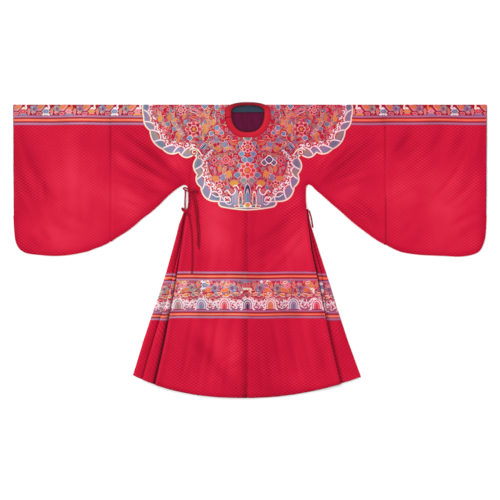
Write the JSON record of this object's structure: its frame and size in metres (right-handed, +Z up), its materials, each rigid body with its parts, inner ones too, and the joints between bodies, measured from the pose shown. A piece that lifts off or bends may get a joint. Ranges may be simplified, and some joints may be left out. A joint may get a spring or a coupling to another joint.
{
  "type": "round-collar hanfu robe, laid out flat",
  "caption": "Long wide-sleeved robe with a round collar band, a front closing at the side with ties, and pleated side flaps, laid flat on its back.",
  "frame": {"origin": "on the surface that the robe lies on, under the middle of its outline", "axes": "+X along the sleeves towards the robe's left sleeve as worn, +Y towards the shoulders, +Z up out of the front"},
  "size_m": [2.1328, 1.332, 0.0159],
  "materials": {
    "damask": "red silk damask with a small lozenge figure and woven bands",
    "collar": "plain red satin",
    "lining": "burgundy lining silk",
    "facing": "teal-grey facing silk",
    "ties": "maroon tie cloth"
  },
  "bodies": {
    "root": {"body_left": "damask", "body_right": "damask", "closing_front": "damask", "sleeve_left": "damask", "sleeve_right": "damask", "pleats_left": "damask", "pleats_right": "damask", "collar_band": "collar", "neck_facing": "facing", "back_lining": "lining", "upper_tie_bow": "ties", "upper_tie_tail_long": "ties", "upper_tie_tail_short": "ties", "lower_tie_bow": "ties", "lower_tie_tail": "ties", "side_tie_left": "ties", "side_tie_right": "ties"}
  },
  "joints": []
}
